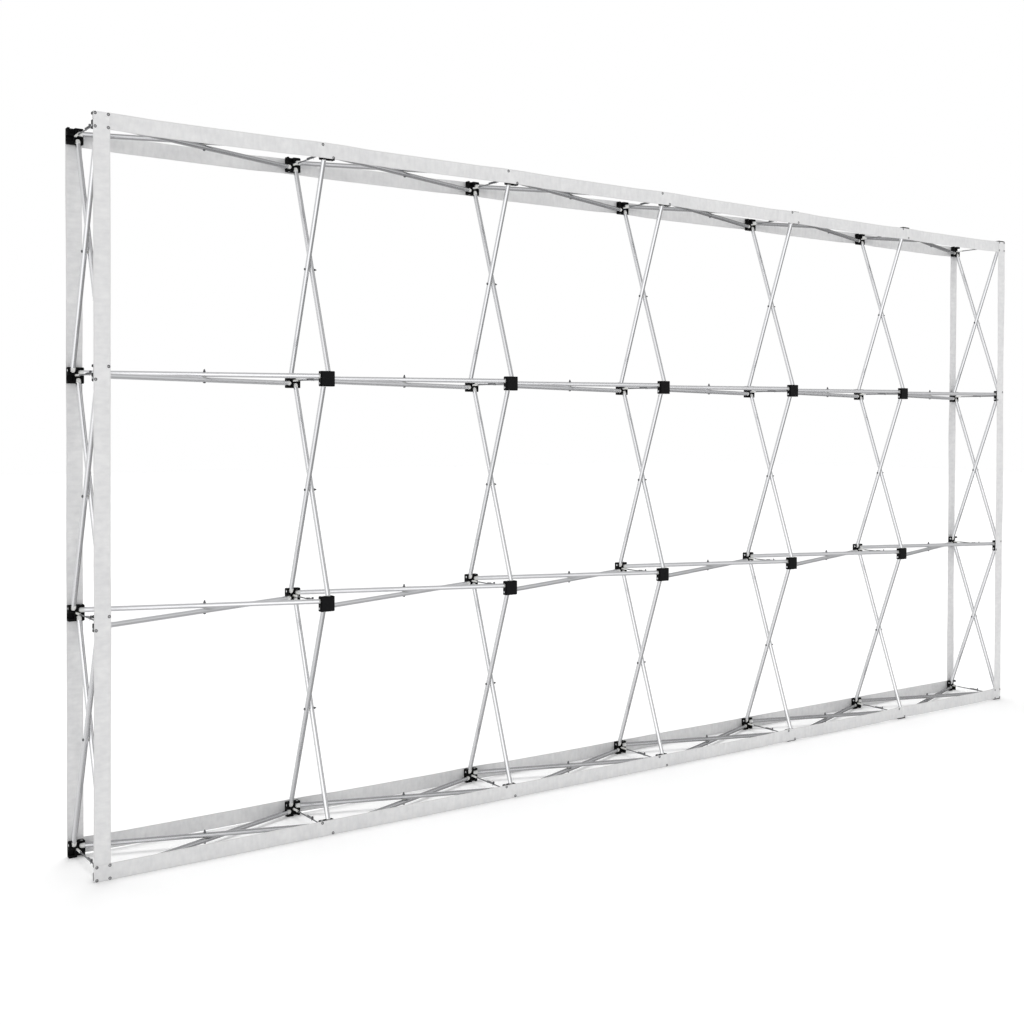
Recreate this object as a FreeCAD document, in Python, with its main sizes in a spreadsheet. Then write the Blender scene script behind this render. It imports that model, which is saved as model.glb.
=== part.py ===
# Straight pop-up banner wall: two planes of square hubs joined by crossed tubes.
# Millimetres, +Z up, front towards -Y, origin at the middle of the footprint on the floor.
import FreeCAD, Part
import Sketcher
import os

COLUMNS = 7
ROWS = 4
LEFT = 0
RIGHT = COLUMNS - 1
BOTTOM = 0
TOP = ROWS - 1
SLOTS_PER_HUB = 4

X_AXIS = FreeCAD.Vector(1, 0, 0)
Y_AXIS = FreeCAD.Vector(0, 1, 0)
Z_AXIS = FreeCAD.Vector(0, 0, 1)
NO_TURN = (Z_AXIS, "0")
ALONG_X = (Y_AXIS, "90")
ALONG_Y = (X_AXIS, "-90")
FACING_BACK = (Z_AXIS, "180")

DRIVING = {
    # frame
    "bay_pitch": 733,
    "frame_depth": 270,
    # strut tubes
    "tube_diameter": 16,
    "tube_wall": 1.2,
    "crossing_gap": 1.0,
    # hub mouldings
    "plate_thick": 3,
    "outer_wall": 8.2,
    "core_wall": 2.4,
    "ear_reach": 5,
    "corner_round": 3,
    "slot_clearance": 0.3,
    "slot_floor_gap": 1,
    "tip_clearance": 0.5,
    # strut tips
    "tip_neck": 10,
    "plug_length": 24,
    "plug_clearance": 0.1,
    # hub pins
    "pin_diameter": 4,
    "pin_seat": 4,
    "pin_head_diameter": 8,
    "pin_head_height": 1.6,
    "pin_recess": 0.1,
    "running_clearance": 0.05,
    # crossing rivets and washers
    "rivet_diameter": 5,
    "rivet_head_diameter": 9,
    "rivet_head_height": 3,
    "rivet_tail_length": 9,
    "rivet_tail_tip_diameter": 3.2,
    "washer_diameter": 13,
    # lock sockets, pins and arms
    "stem_diameter": 8,
    "stem_length": 12,
    "stem_clearance": 0.1,
    "socket_width": 6,
    "socket_height": 6,
    "socket_reach": 32,
    "eye_diameter": 5.5,
    "eye_thick": 2.6,
    "eye_clearance": 0.2,
    "eye_floor_gap": 1.5,
    "lock_pin_diameter": 2.2,
    "lock_pin_head_diameter": 4,
    "lock_pin_head_height": 0.8,
    "arm_diameter": 4.5,
    "arm_shoulder_gap": 1.5,
    "web_gap": 2,
    "web_length": 5,
    "paddle_width": 7.5,
    "paddle_thick": 2,
    "paddle_gap": 0.3,
    "paddle_nose": 26,
    "tab_height": 6,
    "tab_thick": 1.2,
    "leg_drop": 5,
    "leg_clearance": 0.4,
    # catch arms
    "collar_diameter": 10,
    "collar_thick": 3,
    "catch_overrun": 8,
    "nib_width": 3,
    "nib_length": 4,
    "nib_rise": 1.5,
    "nib_side_clearance": 0.4,
    "nib_end_clearance": 1.0,
    # loop strips, their eyelet rivets and the grip pads
    "strip_width": 50,
    "strip_thick": 1.2,
    "lap_gap": 1,
    "lap_slope": 15,
    "eyelet_inset": 5.8,
    "eyelet_diameter": 3.2,
    "eyelet_length": 5,
    "eyelet_floor_gap": 0.5,
    "eyelet_head_diameter": 10,
    "eyelet_head_height": 0.8,
    "eyelet_clearance": 0.1,
    "pad_inset": 3,
    "pad_thick": 2,
}

WORKED_OUT = {
    "face_y": "frame_depth / 2",
    "strut_offset": "(tube_diameter + crossing_gap) / 2",
    "tube_radius": "tube_diameter / 2",
    "tube_bore_radius": "tube_radius - tube_wall",
    "slot_half": "tube_radius + slot_clearance",
    "slot_inner": "strut_offset - slot_half",
    "slot_outer": "strut_offset + slot_half",
    "hub_half": "slot_outer + outer_wall",
    "hub_size": "2 * hub_half",
    "stem_bore_radius": "stem_diameter / 2 + stem_clearance",
    "core_half": "stem_bore_radius + core_wall",
    "pivot_offset": "core_half + tube_radius + tip_clearance",
    "pivot_depth": "plate_thick + slot_floor_gap + tube_radius",
    "hub_depth": "pivot_depth + ear_reach",
    "pivot_rise": "frame_depth - 2 * pivot_depth",
    "pivot_run": "bay_pitch - 2 * pivot_offset",
    "strut_length": "sqrt(pivot_rise ^ 2 + pivot_run ^ 2)",
    "strut_angle": "atan(pivot_rise / pivot_run)",
    "tube_length": "strut_length - 2 * tip_neck",
    "pin_bore_radius": "pin_diameter / 2 + running_clearance",
    "pin_start": "slot_inner - pin_seat",
    "pin_end": "hub_half - pin_recess",
    "pin_length": "pin_end - pin_start",
    "rivet_bore_radius": "rivet_diameter / 2 + running_clearance",
    "rivet_grip": "2 * tube_diameter + crossing_gap",
    "inner_face_y": "face_y - hub_depth",
    "lock_pivot_y": "inner_face_y - socket_reach",
    "lock_bore_radius": "lock_pin_diameter / 2 + running_clearance",
    "arm_radius": "arm_diameter / 2",
    "arm_start": "socket_height / 2 + arm_shoulder_gap",
    "web_front": "lock_pivot_y - catch_overrun - web_gap",
    "web_back": "web_front - web_length",
    "paddle_bottom": "arm_radius + paddle_gap",
    "paddle_top": "paddle_bottom + paddle_thick",
    "paddle_end": "lock_pivot_y + paddle_nose",
    "nib_top": "paddle_top + nib_rise",
    "wall_half": "(%d) * bay_pitch / 2" % RIGHT,
    "strip_half": "strip_width / 2",
    "strip_end": "wall_half + strip_half",
    "lap_start": "wall_half - strip_half - lap_gap",
    "lap_foot": "lap_start - lap_slope",
    "top_z": "hub_half + %d * bay_pitch" % TOP,
    "side_lap_start": "top_z - strip_half - lap_gap",
    "side_lap_foot": "side_lap_start - lap_slope",
    "first_layer_y": "-(face_y + strip_thick)",
    "second_layer_y": "first_layer_y - strip_thick",
    "eyelet_offset": "hub_half - eyelet_inset",
    "eyelet_bore_radius": "eyelet_diameter / 2 + eyelet_clearance",
    "eyelet_bore_depth": "eyelet_length + eyelet_floor_gap",
    "pad_size": "hub_size - 2 * pad_inset",
}

doc = FreeCAD.newDocument("banner_wall")
sheet = doc.addObject("Spreadsheet::Sheet", "Sizes")
for line, (name, content) in enumerate([*DRIVING.items(), *WORKED_OUT.items()], start=1):
    sheet.set(f"A{line}", name)
    sheet.set(f"B{line}", f"={content}" if name in WORKED_OUT else str(content))
    sheet.setAlias(f"B{line}", name)
doc.recompute()


def formula(text):
    """The text with every size name in it pointed at the sheet."""
    words = text.replace("(", " ( ").replace(")", " ) ").replace("-", " - ").split()
    known = set(DRIVING) | set(WORKED_OUT)
    return " ".join(f"Sizes.{word}" if word in known else word for word in words)


def bind(piece, **sizes):
    for name, text in sizes.items():
        piece.setExpression(name, formula(text))
    return piece


def place(piece, at=("0", "0", "0"), turn=NO_TURN):
    """Puts a piece at a point worked out from the sheet, turned about one axis."""
    axis, angle = turn
    piece.Placement = FreeCAD.Placement(FreeCAD.Vector(), FreeCAD.Rotation(axis, 1))
    piece.setExpression("Placement.Rotation.Angle", formula(angle))
    for letter, text in zip("xyz", at):
        piece.setExpression(f"Placement.Base.{letter}", formula(text))
    return piece


def box(name, x, y, z):
    """A block between two expressions along each axis."""
    block = doc.addObject("Part::Box", name)
    spans = [f"({high}) - ({low})" for low, high in (x, y, z)]
    bind(block, Length=spans[0], Width=spans[1], Height=spans[2])
    return place(block, at=(x[0], y[0], z[0]))


def rod(name, radius, length, at=("0", "0", "0"), turn=NO_TURN):
    cylinder = doc.addObject("Part::Cylinder", name)
    bind(cylinder, Radius=radius, Height=length)
    return place(cylinder, at, turn)


def fuse(name, *pieces):
    joined = doc.addObject("Part::MultiFuse", name)
    joined.Shapes = list(pieces)
    joined.Refine = True
    return joined


def cut(name, base, *tools):
    result = doc.addObject("Part::Cut", name)
    result.Base = base
    result.Tool = tools[0] if len(tools) == 1 else fuse(f"{name}_cutters", *tools)
    return result


def origin_feature(body, role):
    return next(item for item in body.Origin.OriginFeatures if item.Role == role)


def sketch_on(body, name, plane, offset="0"):
    sketch = body.newObject("Sketcher::SketchObject", name)
    sketch.AttachmentSupport = [(origin_feature(body, plane), "")]
    sketch.MapMode = "FlatFace"
    sketch.setExpression("AttachmentOffset.Base.z", formula(offset))
    return sketch


def pin_point(sketch, line, end, label, across, up):
    """Ties one point of a sketch to two expressions, measured from the sketch's origin."""
    for kind, axis, text in (("DistanceX", "across", across), ("DistanceY", "up", up)):
        number = sketch.addConstraint(Sketcher.Constraint(kind, -1, 1, line, end, 1.0))
        sketch.renameConstraint(number, f"{label}_{axis}")
        sketch.setExpression(f"Constraints.{label}_{axis}", formula(text))


def draw_outline(sketch, points):
    """A closed outline of straight lines through points given as expressions."""
    count = len(points)
    values = [[float(sheet.evalExpression(formula(text))) for text in point] for point in points]
    corners = [FreeCAD.Vector(*value, 0) for value in values]
    for number in range(count):
        sketch.addGeometry(Part.LineSegment(corners[number], corners[(number + 1) % count]))
    for number in range(count):
        sketch.addConstraint(Sketcher.Constraint("Coincident", number, 2, (number + 1) % count, 1))
    for number, (across, up) in enumerate(points):
        pin_point(sketch, number, 1, f"point{number}", across, up)


def draw_circle(sketch, radius, across, up):
    sketch.addGeometry(Part.Circle(FreeCAD.Vector(), Z_AXIS, 1.0))
    number = sketch.addConstraint(Sketcher.Constraint("Radius", 0, 1.0))
    sketch.renameConstraint(number, "radius")
    sketch.setExpression("Constraints.radius", formula(radius))
    pin_point(sketch, 0, 3, "centre", across, up)


def turned(name, points):
    """A piece turned on a lathe about Z from an outline of (radius, height) points."""
    body = doc.addObject("PartDesign::Body", name)
    outline = sketch_on(body, f"{name}_outline", "XZ_Plane")
    draw_outline(outline, points)
    turning = body.newObject("PartDesign::Revolution", f"{name}_turning")
    turning.Profile = outline
    turning.ReferenceAxis = (origin_feature(body, "Z_Axis"), [""])
    turning.Angle = 360
    return body


def copy_of(piece, at=("0", "0", "0"), turn=NO_TURN):
    link = doc.addObject("App::Link", f"{piece.Name}_copy")
    link.LinkedObject = piece
    return place(link, at, turn)


def group(name, copies):
    gathered = doc.addObject("Part::Compound", name)
    gathered.Links = copies
    return gathered


nodes = []


def node(name, copies):
    """A sub-part that is written to a file of its own name."""
    gathered = group(name, copies)
    gathered.Label = name
    nodes.append(gathered)


def column_x(column):
    return f"{column - RIGHT / 2} * bay_pitch"


def row_z(row):
    return f"hub_half + {row} * bay_pitch"


def hub_moulding():
    """One square hub: outer face on Y = 0, four slots in a pinwheel, open towards +Y."""
    body = doc.addObject("PartDesign::Body", "hub_moulding")
    outline = sketch_on(body, "hub_outline", "XZ_Plane")
    draw_outline(
        outline,
        [
            ("-hub_half", "-hub_half"),
            ("hub_half", "-hub_half"),
            ("hub_half", "hub_half"),
            ("-hub_half", "hub_half"),
        ],
    )
    block = body.newObject("PartDesign::Pad", "hub_block")
    block.Profile = outline
    block.Reversed = True
    bind(block, Length="hub_depth")
    doc.recompute()

    corners = [
        f"Edge{number}"
        for number, edge in enumerate(block.Shape.Edges, start=1)
        if abs(edge.tangentAt(edge.FirstParameter).dot(Y_AXIS)) > 0.99
    ]
    rounding = body.newObject("PartDesign::Fillet", "hub_rounding")
    rounding.Base = (block, corners)
    bind(rounding, Radius="corner_round")

    bore_sketch = sketch_on(body, "stem_bore_outline", "XZ_Plane", "-plate_thick")
    draw_circle(bore_sketch, "stem_bore_radius", "0", "0")
    bore = body.newObject("PartDesign::Pocket", "stem_bore")
    bore.Profile = bore_sketch
    bore.Type = "ThroughAll"

    slot_sketch = sketch_on(body, "slot_outline", "XZ_Plane", "-plate_thick")
    draw_outline(
        slot_sketch,
        [
            ("slot_inner", "core_half"),
            ("slot_outer", "core_half"),
            ("slot_outer", "hub_size"),
            ("slot_inner", "hub_size"),
        ],
    )
    slot = body.newObject("PartDesign::Pocket", "slot")
    slot.Profile = slot_sketch
    slot.Type = "ThroughAll"

    pin_sketch = sketch_on(body, "pin_bore_outline", "YZ_Plane", "pin_start")
    draw_circle(pin_sketch, "pin_bore_radius", "pivot_depth", "pivot_offset")
    pin_bore = body.newObject("PartDesign::Pocket", "pin_bore")
    pin_bore.Profile = pin_sketch
    pin_bore.Type = "ThroughAll"
    pin_bore.Reversed = True

    head_sketch = sketch_on(body, "pin_head_outline", "YZ_Plane", "pin_end - pin_head_height")
    draw_circle(head_sketch, "pin_head_diameter / 2 + slot_clearance", "pivot_depth", "pivot_offset")
    head_seat = body.newObject("PartDesign::Pocket", "pin_head_seat")
    head_seat.Profile = head_sketch
    head_seat.Type = "ThroughAll"
    head_seat.Reversed = True

    eyelet_sketch = sketch_on(body, "eyelet_bore_outline", "XZ_Plane")
    draw_circle(eyelet_sketch, "eyelet_bore_radius", "eyelet_offset", "eyelet_offset")
    eyelet_bore = body.newObject("PartDesign::Pocket", "eyelet_bore")
    eyelet_bore.Profile = eyelet_sketch
    bind(eyelet_bore, Length="eyelet_bore_depth")

    pinwheel = body.newObject("PartDesign::PolarPattern", "pinwheel")
    pinwheel.Originals = [slot, pin_bore, head_seat, eyelet_bore]
    pinwheel.Axis = (origin_feature(body, "Y_Axis"), [""])
    pinwheel.Angle = 360
    pinwheel.Occurrences = SLOTS_PER_HUB
    body.Tip = pinwheel
    return body


def hub_pin():
    """The headed pin that a strut tip turns on, along Z."""
    head_base = "pin_length - pin_head_height"
    return turned(
        "hub_pin",
        [
            ("0", "0"),
            ("pin_diameter / 2", "0"),
            ("pin_diameter / 2", head_base),
            ("pin_head_diameter / 2", head_base),
            ("pin_head_diameter / 2", "pin_length"),
            ("0", "pin_length"),
        ],
    )


def used_slots(column, row, faces_back):
    """The slots of a hub that hold a strut, counted clockwise from the top as its outer face is seen."""
    right, left = column < RIGHT, column > LEFT
    if faces_back:
        right, left = left, right
    in_use = (row < TOP, right, row > BOTTOM, left)
    return tuple(slot for slot in range(SLOTS_PER_HUB) if in_use[slot])


def hub_pin_set(pin, slots):
    """The pins of one hub, each across its slot with its head in the outer wall."""
    starts = [
        ("pin_start", "pivot_offset"),
        ("pivot_offset", "-(pin_start)"),
        ("-(pin_start)", "-pivot_offset"),
        ("-pivot_offset", "pin_start"),
    ]
    pins = []
    for slot in slots:
        x, z = starts[slot]
        quarter_turns = (Y_AXIS, str(90 * (slot + 1)))
        pins.append(copy_of(pin, (x, "pivot_depth", z), quarter_turns))
    return group("hub_pin_set", pins)


def strut_tube():
    """One aluminium tube along Z, drilled across its middle along X."""
    wall = turned(
        "tube_wall_ring",
        [
            ("tube_bore_radius", "-tube_length / 2"),
            ("tube_radius", "-tube_length / 2"),
            ("tube_radius", "tube_length / 2"),
            ("tube_bore_radius", "tube_length / 2"),
        ],
    )
    drill = rod("tube_drill", "rivet_bore_radius", "2 * tube_diameter", ("-tube_diameter", "0", "0"), ALONG_X)
    return cut("strut_tube", wall, drill)


def strut_tip_pair():
    """The two moulded tips of one strut along Z: a plug in the tube and a domed, drilled head."""
    dome = doc.addObject("Part::Sphere", "tip_dome")
    bind(dome, Radius="tube_radius")
    head = rod("tip_head", "tube_radius", "tip_neck")
    plug = rod("tip_plug", "tube_bore_radius - plug_clearance", "tip_neck + plug_length")
    drill = rod("tip_drill", "pin_bore_radius", "2 * tube_diameter", ("-tube_diameter", "0", "0"), ALONG_X)
    tip = cut("strut_tip", fuse("tip_blank", dome, head, plug), drill)
    lower = copy_of(tip, ("0", "0", "-strut_length / 2"))
    upper = copy_of(tip, ("0", "0", "strut_length / 2"), (X_AXIS, "180"))
    return group("strut_tip_pair", [lower, upper])


def crossing_rivet():
    """The rivet through the middle of two crossed tubes, along Z: a head below, a tapered tail above."""
    reach = "rivet_grip / 2"
    head_end = "rivet_grip / 2 + rivet_head_height"
    tail_end = "rivet_grip / 2 + rivet_tail_length"
    return turned(
        "crossing_rivet",
        [
            ("0", f"-({head_end})"),
            ("rivet_head_diameter / 2", f"-({head_end})"),
            ("rivet_head_diameter / 2", f"-({reach})"),
            ("rivet_diameter / 2", f"-({reach})"),
            ("rivet_diameter / 2", reach),
            ("rivet_head_diameter / 2", reach),
            ("rivet_tail_tip_diameter / 2", tail_end),
            ("0", tail_end),
        ],
    )


def crossing_washer():
    """The washer that keeps two crossed tubes apart."""
    return turned(
        "crossing_washer",
        [
            ("rivet_bore_radius", "-crossing_gap / 2"),
            ("washer_diameter / 2", "-crossing_gap / 2"),
            ("washer_diameter / 2", "crossing_gap / 2"),
            ("rivet_bore_radius", "crossing_gap / 2"),
        ],
    )


def lock_socket():
    """The forked nylon socket pressed into the middle of a back hub."""
    across = ("-socket_width / 2", "socket_width / 2")
    upright = ("-socket_height / 2", "socket_height / 2")
    gap = ("-(eye_thick / 2 + eye_clearance)", "eye_thick / 2 + eye_clearance")
    stem = rod("socket_stem", "stem_diameter / 2", "stem_length", ("0", "inner_face_y", "0"), ALONG_Y)
    block = box("socket_block", across, ("lock_pivot_y", "inner_face_y"), upright)
    nose_start = ("-socket_width / 2", "lock_pivot_y", "0")
    nose = rod("socket_nose", "socket_height / 2", "socket_width", nose_start, ALONG_X)
    fork_floor = "lock_pivot_y + eye_diameter / 2 + eye_floor_gap"
    fork = box("socket_fork", gap, ("lock_pivot_y - socket_height", fork_floor), upright)
    bore = rod("socket_bore", "lock_bore_radius", "socket_width", nose_start, ALONG_X)
    return cut("lock_socket", fuse("socket_blank", stem, block, nose), fork, bore)


def lock_pin():
    """The short riveted pin that a lock arm swings on, along Z."""
    reach = "socket_width / 2"
    end = "socket_width / 2 + lock_pin_head_height"
    return turned(
        "lock_pin",
        [
            ("0", f"-({end})"),
            ("lock_pin_head_diameter / 2", f"-({end})"),
            ("lock_pin_head_diameter / 2", f"-({reach})"),
            ("lock_pin_diameter / 2", f"-({reach})"),
            ("lock_pin_diameter / 2", reach),
            ("lock_pin_head_diameter / 2", reach),
            ("lock_pin_head_diameter / 2", end),
            ("0", end),
        ],
    )


def lock_arm():
    """The swinging arm: an eye on the pin, a rod, and a slotted paddle with a thumb tab on two legs."""
    thick = ("-eye_thick / 2", "eye_thick / 2")
    tall = ("-arm_radius", "arm_radius")
    wide = ("-paddle_width / 2", "paddle_width / 2")
    eye = rod("arm_eye", "eye_diameter / 2", "eye_thick", ("-eye_thick / 2", "lock_pivot_y", "0"), ALONG_X)
    shoulder = "lock_pivot_y - arm_start"
    tongue = box("arm_tongue", thick, (f"{shoulder} - arm_radius", "lock_pivot_y"), tall)
    web_y = ("lock_pivot_y - web_front", "lock_pivot_y - web_back")
    shaft = rod("arm_shaft", "arm_radius", f"{shoulder} - ({web_y[0]})", ("0", web_y[0], "0"), ALONG_Y)
    web = box("arm_web", tall, web_y, ("-arm_radius", "paddle_top"))
    nose = "lock_pivot_y - paddle_end"
    paddle = box("arm_paddle", wide, (nose, web_y[1]), ("paddle_bottom", "paddle_top"))
    tab_y = (nose, f"{nose} + tab_thick")
    tab = box("arm_tab", wide, tab_y, ("-leg_drop", "paddle_top + tab_height"))
    blank = fuse("arm_blank", eye, tongue, shaft, web, paddle, tab)
    saddle_half = "arm_radius + leg_clearance"
    saddle = box("arm_saddle", (f"-({saddle_half})", saddle_half), tab_y, ("-leg_drop", "paddle_bottom"))
    bore = rod("arm_bore", "lock_bore_radius", "2 * eye_thick", ("-eye_thick", "lock_pivot_y", "0"), ALONG_X)
    window_half = "nib_width / 2 + nib_side_clearance"
    window_reach = "nib_length / 2 + nib_end_clearance"
    window_x = (f"-({window_half})", window_half)
    window_y = (f"-({window_reach})", window_reach)
    window = box("arm_window", window_x, window_y, ("0", "2 * paddle_top"))
    return cut("lock_arm", blank, bore, window, saddle)


def catch_arm():
    """The fixed arm in a front hub, with the upright nib that the paddle drops over."""
    start = "-inner_face_y"
    stem = rod("catch_stem", "stem_diameter / 2", "stem_length", ("0", f"{start} - stem_length", "0"), ALONG_Y)
    collar = rod("catch_collar", "collar_diameter / 2", "collar_thick", ("0", start, "0"), ALONG_Y)
    shaft = rod("catch_shaft", "arm_radius", "inner_face_y + catch_overrun", ("0", start, "0"), ALONG_Y)
    nib_x = ("-nib_width / 2", "nib_width / 2")
    nib_y = ("-nib_length / 2", "nib_length / 2")
    nib = box("catch_nib", nib_x, nib_y, ("0", "nib_top"))
    return fuse("catch_arm", stem, collar, shaft, nib)


def grip_pad():
    """The square of hook tape on the face of an inner front hub."""
    half = "pad_size / 2"
    square = (f"-({half})", half)
    return box("grip_pad", square, ("-(face_y + pad_thick)", "-face_y"), square)


def eyelet_rivet():
    """The headed rivet that holds a strip to a hub: head below Z = 0, shank above."""
    return turned(
        "eyelet_rivet",
        [
            ("0", "-eyelet_head_height"),
            ("eyelet_head_diameter / 2", "-eyelet_head_height"),
            ("eyelet_head_diameter / 2", "0"),
            ("eyelet_diameter / 2", "0"),
            ("eyelet_diameter / 2", "eyelet_length"),
            ("0", "eyelet_length"),
        ],
    )


def eyelet_sites(column, row):
    """The eyelets of one edge hub as (x, z) expressions: four at a corner, else two on a diagonal."""
    at_side = column in (LEFT, RIGHT)
    at_end = row in (BOTTOM, TOP)
    if at_side and at_end:
        signs = [(1, 1), (1, -1), (-1, -1), (-1, 1)]
    elif at_side:
        signs = [(1, 1), (-1, -1)]
    elif at_end:
        signs = [(-1, 1), (1, -1)]
    else:
        signs = []
    return [
        (f"{column_x(column)} + {across} * eyelet_offset", f"{row_z(row)} + {up} * eyelet_offset")
        for across, up in signs
    ]


def loop_strip(name, plane, middle, points, hubs):
    """A flat woven strip along one edge, with lapped ends, holed at the eyelets of its hubs."""
    body = doc.addObject("PartDesign::Body", f"{name}_band")
    outline = sketch_on(body, f"{name}_outline", plane, middle)
    draw_outline(outline, points)
    band = body.newObject("PartDesign::Pad", f"{name}_width")
    band.Profile = outline
    band.SideType = "Symmetric"
    bind(band, Length="strip_width")
    drill_start = "second_layer_y - strip_thick"
    drills = [
        rod(f"{name}_drill", "eyelet_bore_radius", "3 * strip_thick + plate_thick", (x, drill_start, z), ALONG_Y)
        for column, row in hubs
        for x, z in eyelet_sites(column, row)
    ]
    return cut(name, body, *drills)


def top_strip():
    points = [
        ("-strip_end", "first_layer_y"),
        ("strip_end", "first_layer_y"),
        ("strip_end", "-face_y"),
        ("-strip_end", "-face_y"),
    ]
    return loop_strip("top_strip", "XY_Plane", "top_z", points, [(column, TOP) for column in range(COLUMNS)])


def bottom_strip():
    inner = [("lap_foot", "-face_y"), ("lap_start", "first_layer_y"), ("strip_end", "first_layer_y")]
    outer = [("strip_end", "second_layer_y"), ("lap_start", "second_layer_y"), ("lap_foot", "first_layer_y")]
    right_half = inner + outer
    left_half = [(f"-{across}", depth) for across, depth in reversed(right_half)]
    hubs = [(column, BOTTOM) for column in range(COLUMNS)]
    return loop_strip("bottom_strip", "XY_Plane", "hub_half", right_half + left_half, hubs)


def side_strip(name, column):
    points = [
        ("-face_y", "hub_half - strip_half"),
        ("-face_y", "side_lap_foot"),
        ("first_layer_y", "side_lap_start"),
        ("first_layer_y", "top_z + strip_half"),
        ("second_layer_y", "top_z + strip_half"),
        ("second_layer_y", "side_lap_start"),
        ("first_layer_y", "side_lap_foot"),
        ("first_layer_y", "hub_half - strip_half"),
    ]
    return loop_strip(name, "YZ_Plane", column_x(column), points, [(column, row) for row in range(ROWS)])


hubs = [(column, row) for row in range(ROWS) for column in range(COLUMNS)]
edge_hubs = [site for site in hubs if eyelet_sites(*site)]
inner_hubs = [site for site in hubs if site not in edge_hubs]

# Hubs: the back ones are the same moulding turned to face backwards.
moulding = hub_moulding()
front_at = {site: (column_x(site[0]), "-face_y", row_z(site[1])) for site in hubs}
back_at = {site: (column_x(site[0]), "face_y", row_z(site[1])) for site in hubs}
for face, places, turn in (("front", front_at, NO_TURN), ("back", back_at, FACING_BACK)):
    for kind, sites in (("edge", edge_hubs), ("inner", inner_hubs)):
        node(f"{face}_{kind}_hubs", [copy_of(moulding, places[site], turn) for site in sites])

slot_pin = hub_pin()
pin_sets = {}
pins = []
for site in hubs:
    for places, turn in ((front_at, NO_TURN), (back_at, FACING_BACK)):
        slots = used_slots(*site, turn is FACING_BACK)
        if slots not in pin_sets:
            pin_sets[slots] = hub_pin_set(slot_pin, slots)
        pins.append(copy_of(pin_sets[slots], places[site], turn))
node("hub_pins", pins)

# Struts: one crossed pair between every two neighbouring hubs, level along rows, upright along columns.
upright_tube = strut_tube()
level_tube = group("level_tube", [copy_of(upright_tube, turn=ALONG_X)])
upright_tips = strut_tip_pair()
level_tips = group("level_tips", [copy_of(upright_tips, turn=ALONG_X)])
rivet = crossing_rivet()
washer = crossing_washer()
tips = []
rivets = []
washers = []
for row in range(ROWS):
    tubes = []
    for bay in range(COLUMNS - 1):
        middle_x = column_x(bay + 0.5)
        for side, angle in (("-", "strut_angle"), ("+", "-strut_angle")):
            at = (middle_x, "0", f"{row_z(row)} {side} strut_offset")
            tubes.append(copy_of(level_tube, at, (Z_AXIS, angle)))
            tips.append(copy_of(level_tips, at, (Z_AXIS, angle)))
        rivets.append(copy_of(rivet, (middle_x, "0", row_z(row))))
        washers.append(copy_of(washer, (middle_x, "0", row_z(row))))
    node(f"level_struts_row{row + 1}", tubes)
for column in range(COLUMNS):
    tubes = []
    for bay in range(ROWS - 1):
        middle_z = row_z(bay + 0.5)
        for side, angle in (("-", "strut_angle"), ("+", "-strut_angle")):
            at = (f"{column_x(column)} {side} strut_offset", "0", middle_z)
            tubes.append(copy_of(upright_tube, at, (X_AXIS, angle)))
            tips.append(copy_of(upright_tips, at, (X_AXIS, angle)))
        rivets.append(copy_of(rivet, (column_x(column), "0", middle_z), ALONG_X))
        washers.append(copy_of(washer, (column_x(column), "0", middle_z), ALONG_X))
    node(f"upright_struts_col{column + 1}", tubes)
node("strut_tips", tips)
node("crossing_rivets", rivets)
node("crossing_washers", washers)

# Locks: one between each front hub and the back hub behind it.
middle_at = {site: (column_x(site[0]), "0", row_z(site[1])) for site in hubs}
socket = lock_socket()
node("lock_sockets", [copy_of(socket, middle_at[site]) for site in hubs])
swing_pin = lock_pin()
pivot_at = {site: (column_x(site[0]), "lock_pivot_y", row_z(site[1])) for site in hubs}
node("lock_pins", [copy_of(swing_pin, pivot_at[site], ALONG_X) for site in hubs])
catch = catch_arm()
node("catch_arms", [copy_of(catch, middle_at[site]) for site in hubs])
arm = lock_arm()
for column, row in hubs:
    node(f"lock_arm_col{column + 1}_row{row + 1}", [copy_of(arm, middle_at[column, row])])

# Grip pads on the inner front hubs, and loop strips round the edges of both faces.
pad = grip_pad()
pad_seat = group("pad_seat", [pad])
node("grip_pads", [copy_of(pad_seat, (x, "0", z)) for x, y, z in (front_at[site] for site in inner_hubs)])

strips = {
    "top": top_strip(),
    "bottom": bottom_strip(),
    "left": side_strip("left_strip", LEFT),
    "right": side_strip("right_strip", RIGHT),
}
behind = {"top": "top", "bottom": "bottom", "left": "right", "right": "left"}
for edge, strip in strips.items():
    node(f"front_{edge}_strip", [copy_of(strip)])
    node(f"back_{behind[edge]}_strip", [copy_of(strip, turn=FACING_BACK)])

eyelet = eyelet_rivet()
eyelets = []
for column, row in edge_hubs:
    sites = eyelet_sites(column, row)
    lapped = len(sites) == SLOTS_PER_HUB
    seat_y = "second_layer_y" if lapped else "first_layer_y"
    eyelets += [copy_of(eyelet, (x, seat_y, z), ALONG_Y) for x, z in sites]
front_eyelets = group("front_eyelets", eyelets)
node("strip_rivets", [copy_of(front_eyelets), copy_of(front_eyelets, turn=FACING_BACK)])

doc.recompute()
for item in doc.Objects:
    if {"Invalid", "Error"} & set(item.State):
        raise RuntimeError(f"{item.Label} did not build: {item.State}")
for item in nodes:
    if item.Shape.isNull() or not item.Shape.isValid():
        raise RuntimeError(f"{item.Label} has no valid shape")

os.makedirs("parts", exist_ok=True)
for item in nodes:
    item.Shape.exportStep(f"parts/{item.Label}.step")
    print(item.Label, len(item.Shape.Solids), "solids", round(item.Shape.Volume), "mm3")
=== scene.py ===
import math
import random
import bpy
from mathutils import Matrix, Vector, noise


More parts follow.
